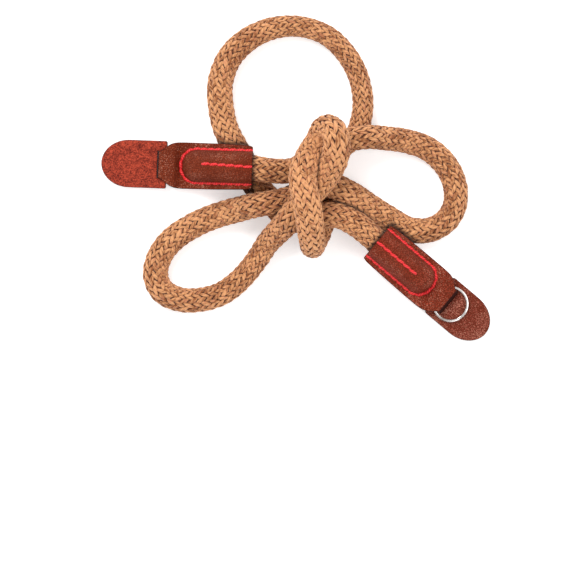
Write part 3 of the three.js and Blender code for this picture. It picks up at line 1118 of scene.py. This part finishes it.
    def _ring(self, x: float, half: float, top: float, bottom: float) -> Array:
        """One closed section of the cover, with rounded edges and a groove between the two plies.

        Args:
            x: Its distance from the mouth.
            half: Half its width.
            top: Its flat top's height.
            bottom: Its bottom's height.

        Returns:
            Its points in order.
        """
        turn = np.radians(self.edge_turns)
        inset = self.edge * (1 - np.cos(turn))
        drop = self.edge * (1 - np.sin(turn))
        inner = np.linspace(-(half - self.edge), half - self.edge, self.across)[1:-1]
        y = np.concatenate([-half + inset, inner, (half - inset)[::-1]])
        fall = np.concatenate([drop, np.zeros_like(inner), drop[::-1]])
        upper = self.height(Face.TOP, np.full_like(y, x), y, top) - fall
        lower = self.height(Face.UNDER, np.full_like(y, x), y, bottom) + fall
        deep, middle = 0.0, (upper[0] + lower[0]) / 2
        if x < SIZES.seam_end:
            deep, middle = self.notch, SIZES.seam_height + SIZES.lift(self.place.mouth_height, x)
        side = [(half, middle + self.notch_half), (half - deep, middle), (half, middle - self.notch_half)]
        left = [(-py, pz) for py, pz in reversed(side)]
        around = [*zip(y, upper), *side, *zip(y[::-1], lower[::-1]), *left]
        return np.array([(x, py, pz) for py, pz in around])

    def _sections(self) -> Array:
        """All sections from the mouth to the loop's end."""
        s = SIZES
        start, rest = self.nose
        along = np.concatenate([
            self.mouth_steps,
            np.arange(self.sewn_start, s.seam_end, self.sewn_step),
            np.linspace(s.seam_end, s.seam_end + start * s.loop_length, 26),
            s.seam_end + s.loop_length * (start + rest * np.sin(np.linspace(0.1, math.pi / 2, 12))),
        ])
        rounded = self.mouth_steps[-1]
        ease = rounded * (1 - np.sqrt(np.clip(1 - (1 - np.minimum(along / rounded, 1)) ** 2, 0, 1)))
        sizes = zip(along, *self._profile(along), ease)
        return np.array([self._ring(x, h - e, t - e, b + e) for x, h, t, b, e in sizes])

    def _gap(self) -> Tube:
        """The space inside the loop, which opens to both sides."""
        s = SIZES
        rise = s.loop_top - s.seam_height
        wall = s.length - s.leather
        # The shares are of the loop's length and of its rise
        side = [
            (s.seam_end - 0.02, s.seam_height),
            (s.seam_end + 0.36 * s.loop_length, s.leather),
            (wall - s.fit, s.leather),
            (wall, s.leather + s.fit),
            (wall, s.seam_height + 0.8 * rise),
            (s.seam_end + 0.55 * s.loop_length, s.seam_height + 0.9 * rise),
            (s.seam_end + 0.23 * s.loop_length, s.loop_top),
        ]
        return Tube(np.array([[(x, y, z) for x, z in side] for y in (-s.cover_width, s.cover_width)]))

    def _from_end(self, line: RopeLine, reach: Array) -> Array:
        """Distances along the rope, from distances from this cover's end of it."""
        return reach if self.side is Side.LEFT else line.length - reach

    def _seat(self, line: RopeLine) -> Tube:
        """The room for the rope's end, open at the mouth."""
        reach = np.linspace(-SIZES.fit, SIZES.rope_inside + self.seat_spare, self.seat_rings)
        along = np.clip(self._from_end(line, reach), 0, line.length)
        points, first, second = line.frames(along)
        end, inner = line.at(self._from_end(line, np.array([0.0, 1.0])))
        points[0] = end + (end - inner) / np.linalg.norm(end - inner) * SIZES.fit
        rings = round_rings(points, first, second, SIZES.seat_radius, self.seat_sides)
        return Tube(self.place.to_cover(rings))

    def build(self, line: RopeLine, material: Material) -> Object:
        """Builds the cover from its outer skin, less the loop's gap and the rope's seat.

        Args:
            line: The rope's centre line.
            material: The leather.

        Returns:
            The cover, which replaces its CAD node.
        """
        skin = Tube(self._sections()).build("skin", material)
        cutters = [self._gap().build("gap", material), self._seat(line).build("seat", material)]
        for cutter in cutters:
            cut = skin.modifiers.new(cutter.name, "BOOLEAN")
            cut.operation, cut.solver, cut.object = "DIFFERENCE", "EXACT", cutter
        made = baked(skin, f"{self.side.value}_cover")
        for cutter in cutters:
            bpy.data.objects.remove(cutter)
        local = coordinates(made.data) / MM
        set_attribute(made.data, "edge", self._edge_and_shadow_mark(local, line))
        # Where pale specks are painted on the grain as highlights
        set_attribute(made.data, "painted_glints", self._painted_glints(local))
        move_points(made.data, self.place.to_part(local), self.sharp)
        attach(made, BODY)
        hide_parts(f"{self.side.value}_leather_end")
        return made

    def _painted_glints(self, local: Array) -> Array:
        """Where pale specks are painted on the grain as highlights: on the margins and the strip, and in two
        bands along the dome.
        """
        aside = np.abs(local[:, 1])
        low, high = self.margin_glints
        band = self.band_share * np.exp(-(((aside - self.band_middle) / self.band_width) ** 2))
        margin = smooth_step(self.seam_half + low, self.seam_half + high, aside)
        strip = smooth_step(SIZES.dome_start, SIZES.seam_end, local[:, 0])
        return np.clip(np.maximum.reduce([band, margin, strip]), 0, 1)

    def _edge_and_shadow_mark(self, local: Array, line: RopeLine) -> Array:
        """1 on cut edges and inside, and as a painted shadow at the loop's nose by the guard's slot, 0 on the
        grain side.
        """
        width = self._profile_at(local[:, 0])[0]
        centre = self.place.to_cover(line.at(self._from_end(line, np.linspace(0, SIZES.rope_inside, 40))))
        near = np.min(np.linalg.norm(local[:, None] - centre[None], axis=2), axis=1)
        nose = SIZES.length - self.place.nose_shade
        return np.maximum.reduce([
            smooth_step(*self.rim_shade, width - np.abs(local[:, 1])),
            smooth_step(*self.mouth_shade, local[:, 0]),
            smooth_step(*self.seat_shade, near),
            # Painted shadow where the loop's nose goes down into the guard's slot
            smooth_step(nose - self.nose_fade, nose, local[:, 0]),
        ])

    def seams(self) -> list[tuple[Array, Array]]:
        """The four seams' points and the way out of the leather at each, in the part's frame."""
        made = []
        step = 0.05
        for face in Face:
            for x, y in (self.seam_line().T, self.centre_line().T):
                _, top, bottom = self._profile_at(x)
                flat = top if face is Face.TOP else bottom
                z = self.height(face, x, y, flat)
                slope_x = (self.height(face, x + step, y, flat) - z) / step
                out = unit(np.stack([-slope_x, np.zeros_like(x), np.ones_like(x)], 1) * face.value)
                points = np.stack([x, y, z], 1)
                tips = self.place.to_part(points + out)
                points = self.place.to_part(points)
                made.append((points, tips - points))
        return made


@dataclass
class SeamThread:
    """The red stitches of one end, which Geometry Nodes lay along its seams. Lengths are in millimetres."""

    side: Side
    pitch: float = 3.35
    stitch: float = 3.5
    radius: float = 0.68
    arch: float = 0.52
    sink: float = 0.2
    slant: float = 7.0
    end_share: float = 0.78
    swell: float = 0.26
    lay_radius: float = 0.0007
    seam_shares: tuple[float, ...] = (1.16, 0.84, 1.16, 0.84)

    def _guide(self, seams: list[tuple[Array, Array]], material: Material) -> Object:
        """The seams as bare lines that carry the way out of the leather.

        Args:
            seams: Each seam's points, and the way out of the leather at each.
            material: The thread.

        Returns:
            One object of all the lines.
        """
        edges, shares = [], []
        for (line, _), share in zip(seams, self.seam_shares):
            start = len(shares)
            edges += [(start + i, start + i + 1) for i in range(len(line) - 1)]
            shares += [(1.0, share, share)] * len(line)
        mesh = bpy.data.meshes.new("seam_guide")
        mesh.from_pydata((np.vstack([line for line, _ in seams]) * MM).tolist(), edges, [])
        mesh.materials.append(material)
        set_attribute(mesh, "out", np.vstack([out for _, out in seams]))
        set_attribute(mesh, "thick", shares)
        return placed("seam_guide", mesh)

    def _stitch(self, graph: NodeGraph, given: dict[str, Number]) -> Socket:
        """One bowed stitch, thickest in the middle and sunk into the leather at its ends.

        Args:
            graph: The node tree.
            given: The tree's inputs.

        Returns:
            The stitch's geometry, with its own length and turn as the attribute "lay".
        """
        half = given["Stitch Length"] * 0.5
        deep = given["Sink"] * -1.0
        bow = graph.add("GeometryNodeCurveQuadraticBezier", {
            "Resolution": 9,
            "Start": graph.vector(half * -1.0, 0.0, deep),
            "Middle": graph.vector(0.0, 0.0, given["Arch"]),
            "End": graph.vector(half, 0.0, deep),
        })
        share = graph.number("GeometryNodeSplineParameter")
        thick = ((share * math.pi).sine() * self.swell + self.end_share) * given["Thread Radius"]
        bow = graph.add("GeometryNodeSetCurveRadius", {"Curve": bow, "Radius": thick})
        body = graph.add("GeometryNodeCurveToMesh", {
            "Curve": bow,
            "Profile Curve": graph.add("GeometryNodeCurvePrimitiveCircle", {"Resolution": 10, "Radius": 1.0}),
            "Scale": graph.add("GeometryNodeInputRadius"),
            "Fill Caps": True,
        })
        x, y, z = graph.split(graph.add("GeometryNodeInputPosition"))
        turn = graph.number("ShaderNodeMath", {0: z, 1: y}, operation="ARCTAN2")
        lay = {"Geometry": body, "Name": "lay", "Value": graph.vector(x, turn * self.lay_radius)}
        body = graph.add("GeometryNodeStoreNamedAttribute", lay, data_type="FLOAT_VECTOR", domain="POINT")
        return graph.add("GeometryNodeSetShadeSmooth", {"Geometry": body})

    @staticmethod
    def _facing(graph: NodeGraph, slant: Number) -> Socket:
        """Each stitch's turn: its bow out of the leather, its length along the seam, and the slant."""
        facing = graph.add("FunctionNodeAlignRotationToVector", {"Vector": graph.carried("out")}, axis="Z")
        along = {"Rotation": facing, "Vector": graph.add("GeometryNodeInputTangent")}
        facing = graph.add("FunctionNodeAlignRotationToVector", along, axis="X", pivot_axis="Z")
        tilt = graph.add("FunctionNodeEulerToRotation", {0: graph.vector(0.0, 0.0, slant)})
        return graph.add("FunctionNodeRotateRotation", {0: facing, 1: tilt}, rotation_space="LOCAL")

    def _tree(self) -> bpy.types.NodeTree:
        """The node tree that lays stitches along lines."""
        tree = bpy.data.node_groups.new("stitch_line", "GeometryNodeTree")
        sizes = ("Pitch", "Stitch Length", "Thread Radius", "Arch", "Sink", "Slant")
        inputs = [("Geometry", "Geometry"), *((name, "Float") for name in sizes), ("Thread", "Material")]
        for name, kind in inputs:
            tree.interface.new_socket(name, in_out="INPUT", socket_type=f"NodeSocket{kind}")
        tree.interface.new_socket("Geometry", in_out="OUTPUT", socket_type="NodeSocketGeometry")
        graph = NodeGraph(tree)
        given = {socket.name: Number(graph, socket) for socket in tree.nodes.new("NodeGroupInput").outputs}
        lines = graph.add("GeometryNodeMeshToCurve", {"Mesh": given["Geometry"]})
        spaced = {"Curve": lines, "Length": given["Pitch"]}
        laid = graph.add("GeometryNodeInstanceOnPoints", {
            "Points": graph.add("GeometryNodeResampleCurve", spaced, mode="LENGTH"),
            "Instance": self._stitch(graph, given),
            "Rotation": self._facing(graph, given["Slant"]),
            "Scale": graph.carried("thick"),
        })
        real = graph.add("GeometryNodeRealizeInstances", {"Geometry": laid})
        dressed = graph.add("GeometryNodeSetMaterial", {"Geometry": real, "Material": given["Thread"]})
        graph.add("NodeGroupOutput", {0: dressed})
        return tree

    def build(self, cover: SewnCover, material: Material) -> Object:
        """Builds the stitches.

        Args:
            cover: The cover that they are sewn into.
            material: The thread.

        Returns:
            One mesh of all this end's stitches.
        """
        guide = self._guide(cover.seams(), material)
        nodes = guide.modifiers.new("stitches", "NODES")
        nodes.node_group = self._tree()
        values = {
            "Pitch": self.pitch * MM,
            "Stitch Length": self.stitch * MM,
            "Thread Radius": self.radius * MM,
            "Arch": self.arch * MM,
            "Sink": self.sink * MM,
            "Slant": math.radians(self.slant),
            "Thread": material,
        }
        for item in nodes.node_group.interface.items_tree:
            if item.in_out == "INPUT" and item.name in values:
                nodes[item.identifier] = values[item.name]
        made = baked(guide, f"{self.side.value}_stitches")
        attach(made, BODY)
        return made


@dataclass
class RingGuard:
    """The tongue-shaped leather pad that keeps the ring off the camera, and the split ring in the loop.

    Lengths are in millimetres and angles in degrees.
    """

    side: Side
    thickness: float = 1.6
    tip_length: float = 11.8
    slot_gap: float = 0.4
    round_edge: float = 0.42
    rim_angle: float = 69.0
    edge_shade: Pair = (0.02, 0.2)
    sharp: float = 50.0
    ring_height: float = 1.4
    ring_outer: float = 7.5
    ring_forward: float = 0.5
    ring_turns: Pair = (22, 698)
    ring_step: Pair = (340, 380)
    ring_samples: int = 300
    wire: float = 0.98
    wire_round: float = 0.16
    turns_apart: float = 0.01

    @property
    def place(self) -> EndPlace:
        """Where this end lies."""
        return PLACES[self.side]

    @property
    def back(self) -> float:
        """The guard's rear edge in its own plane, with the strip's outer face at 0."""
        return -(self.place.guard_bridge + SIZES.leather + self.slot_gap)

    def stacked(self, points: Array) -> Array:
        """Takes points from the guard's own plane to the part's frame."""
        height = SIZES.leather + SIZES.fit
        if self.place.ring_under_guard:
            height += self.ring_height + SIZES.fit
        tilt = math.asin(height / (self.back + self.place.guard_length))
        x = math.cos(tilt) * points[..., 0] + math.sin(tilt) * points[..., 2] + SIZES.length
        z = math.cos(tilt) * points[..., 2] - math.sin(tilt) * points[..., 0] + height
        return self.place.to_part(np.stack([x, points[..., 1], z], -1))

    def _outline(self) -> Array:
        """The guard's outline in its own plane."""
        half, corner = self.place.guard_width / 2, self.place.guard_corner
        shoulder = self.back + self.place.guard_length - self.tip_length
        nose = np.linspace(-math.pi / 2, math.pi / 2, 64)
        parts = [np.stack([shoulder + self.tip_length * np.cos(nose), half * np.sin(nose)], 1)]
        for sign, first in ((1, math.pi / 2), (-1, math.pi)):
            turn = first + np.linspace(0, math.pi / 2, 8)
            centre = np.array([self.back + corner, sign * (half - corner)])
            parts.append(centre + corner * np.stack([np.cos(turn), np.sin(turn)], 1))
        return np.vstack(parts)

    def _slot(self) -> Array:
        """The slot's outline, which the strip fills but for a gap behind it."""
        half = SIZES.strip_width / 2
        low = -SIZES.leather - self.slot_gap
        return np.array([[low, -half], [low, half], [0.0, half], [0.0, -half]])

    def pad(self, material: Material) -> Object:
        """Builds the guard with rounded edges.

        Args:
            material: Its leather.

        Returns:
            The guard, which replaces its CAD node.
        """
        shape = bmesh.new()
        for outline in (self._outline(), self._slot()):
            corners = [shape.verts.new((x, y, 0.0)) for x, y in outline]
            for corner, following in zip(corners, corners[1:] + corners[:1]):
                shape.edges.new((corner, following))
        bmesh.ops.triangle_fill(shape, edges=shape.edges[:], use_beauty=True)
        made = bmesh.ops.extrude_face_region(shape, geom=shape.faces[:])
        for vertex in (v for v in made["geom"] if isinstance(v, bmesh.types.BMVert)):
            vertex.co.z = self.thickness
        bmesh.ops.recalc_face_normals(shape, faces=shape.faces)
        shape.normal_update()
        rim = [
            edge for edge in shape.edges
            if len(edge.link_faces) == 2 and edge.calc_face_angle(0) > math.radians(self.rim_angle)
            and edge.verts[0].co.z == edge.verts[1].co.z
        ]
        bmesh.ops.bevel(shape, geom=rim, offset=self.round_edge, segments=4, profile=0.5, affect="EDGES")
        mesh = bpy.data.meshes.new(f"{self.side.value}_guard")
        shape.to_mesh(mesh)
        shape.free()
        mesh.materials.append(material)
        local = coordinates(mesh)
        inner = np.minimum(local[:, 2], self.thickness - local[:, 2])
        set_attribute(mesh, "edge", smooth_step(*self.edge_shade, inner))
        # Pale specks painted as highlights all over the guard's grain
        set_attribute(mesh, "painted_glints", np.ones(len(local)))
        move_points(mesh, self.stacked(local), self.sharp)
        guard = placed(mesh.name, mesh)
        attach(guard, BODY)
        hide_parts(f"{self.side.value}_ring_guard")
        return guard

    def ring(self, material: Material) -> Object:
        """Builds the split ring: two turns of flat wire with a step from one to the other.

        Args:
            material: Its metal.

        Returns:
            The ring, which replaces its CAD node.
        """
        turn = np.radians(np.linspace(*self.ring_turns, self.ring_samples))
        layer = self.ring_height / 2
        rise = layer * smooth_step(*(math.radians(angle) for angle in self.ring_step), turn)
        base = -SIZES.fit - self.ring_height if self.place.ring_under_guard else self.thickness + SIZES.fit
        soft = self.wire_round
        tall, wide = layer / 2 - self.turns_apart - soft, self.wire / 2 - soft
        section = np.array([
            (cx * wide + soft * math.cos(angle), cz * tall + soft * math.sin(angle))
            for cx, cz, start in ((1, 1, 0), (-1, 1, 90), (-1, -1, 180), (1, -1, 270))
            for angle in np.radians([start, start + 45, start + 90])
        ])
        radius = self.ring_outer - self.wire / 2 + section[:, 0]
        x = self.ring_forward + radius[None, :] * np.cos(turn)[:, None]
        y = radius[None, :] * np.sin(turn)[:, None]
        z = base + layer / 2 + rise[:, None] + section[None, :, 1]
        made = Tube(self.stacked(np.stack([x, y, z], -1))).build(f"{self.side.value}_ring", material)
        made.data.set_sharp_from_angle(angle=math.radians(self.sharp))
        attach(made, BODY)
        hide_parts(f"{self.side.value}_split_ring")
        return made


@dataclass
class Studio:
    """The pale table, the soft lights and the camera straight above. Lengths are in metres."""

    height: float = 2.0
    view_width: float = 0.240
    sensor: float = 36.0
    aim: Pair = (-0.003185, -0.045867)
    table_reach: float = 3.0
    room_light: float = 0.62
    boxes: tuple[tuple, ...] = (
        ("key_box", (-0.55, 0.7, 1.3), 0.7, 15.0),
        ("fill_box", (0.8, -0.3, 1.1), 0.9, 6.0),
    )

    def camera(self) -> None:
        """Places the camera."""
        data = bpy.data.cameras.new("camera")
        data.sensor_width = self.sensor
        data.lens = self.sensor * self.height / self.view_width
        made = placed("camera", data)
        made.location = (*self.aim, self.height)
        bpy.context.scene.camera = made

    def table(self) -> None:
        """Lays the table."""
        reach = self.table_reach / MM
        corners = np.array([(-reach, -reach, 0), (reach, -reach, 0), (reach, reach, 0), (-reach, reach, 0)])
        mesh_object("table", corners, [(0, 1, 2, 3)], FloorFinish().material())

    def lights(self) -> None:
        """Sets a bright even room and the soft boxes, each with its place, its size and its power."""
        world = bpy.data.worlds.new("room")
        world.use_nodes = True
        back = world.node_tree.nodes["Background"]
        back.inputs["Color"].default_value = WHITE
        back.inputs["Strength"].default_value = self.room_light
        bpy.context.scene.world = world
        for name, place, size, power in self.boxes:
            data = bpy.data.lights.new(name, "AREA")
            data.size = size
            data.energy = power
            made = placed(name, data)
            made.location = place
            away = np.array(place) / np.linalg.norm(place)
            made.rotation_euler = (math.acos(away[2]), 0.0, math.atan2(away[1], away[0]) + math.pi / 2)
        bpy.context.scene.view_settings.view_transform = "Standard"

    def build(self) -> None:
        """Builds the table, lights and camera."""
        self.camera()
        self.table()
        self.lights()


def main() -> None:
    """Builds the room, the rope and its two ends in order."""
    logging.basicConfig(level=logging.INFO, format="%(name)s: %(message)s")
    Studio().build()
    line = RopeLine()
    LOG.info("rope line %.1f mm long", line.length)
    pieces = BraidedRope(line).build()
    leathers = {
        Side.LEFT: LeatherFinish("left_leather").material(),
        Side.RIGHT: LeatherFinish("right_leather", srgb(136, 50, 28), srgb(162, 64, 42)).material(),
    }
    guards = {
        Side.RIGHT: LeatherFinish("guard_leather", srgb(136, 58, 42), srgb(168, 94, 78)).material(),
        Side.LEFT: SuedeFinish().material(),
    }
    thread = ThreadFinish().material()
    nickel = NickelFinish().material()
    for side in Side:
        cover, guard = SewnCover(side), RingGuard(side)
        pieces += [
            cover.build(line, leathers[side]),
            SeamThread(side).build(cover, thread),
            guard.pad(guards[side]),
            guard.ring(nickel),
        ]
    for piece in pieces:
        LOG.info("%s, %d faces", piece.name, len(piece.data.polygons))


if __name__ == "__main__":
    main()
